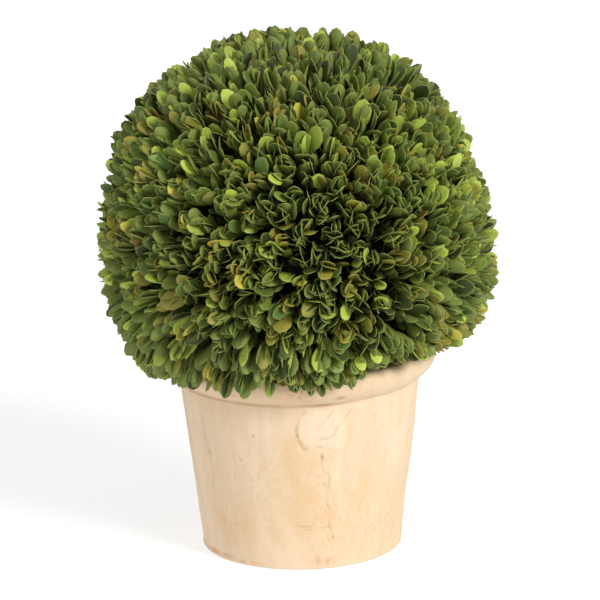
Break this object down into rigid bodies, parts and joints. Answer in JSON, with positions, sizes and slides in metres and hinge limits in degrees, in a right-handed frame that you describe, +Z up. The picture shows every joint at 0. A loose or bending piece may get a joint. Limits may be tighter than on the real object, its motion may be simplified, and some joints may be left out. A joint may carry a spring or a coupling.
{
  "type": "potted preserved boxwood ball",
  "caption": "Clipped round crown of small boxwood leaves on a short stem, standing in a tapered terracotta pot with a rolled rim.",
  "frame": {"origin": "middle of the pot's flat underside", "axes": "+Z up along the pot's axis, through the stem and the crown's middle; +X to the picture's right, +Y away from its camera"},
  "size_m": [0.2561, 0.2534, 0.3321],
  "materials": {
    "terracotta": "matte",
    "filling": "matte",
    "bark": "matte",
    "foliage": "satin"
  },
  "bodies": {
    "root": {"pot": "terracotta", "filling": "filling", "stem": "bark", "crown": "foliage"}
  },
  "joints": []
}
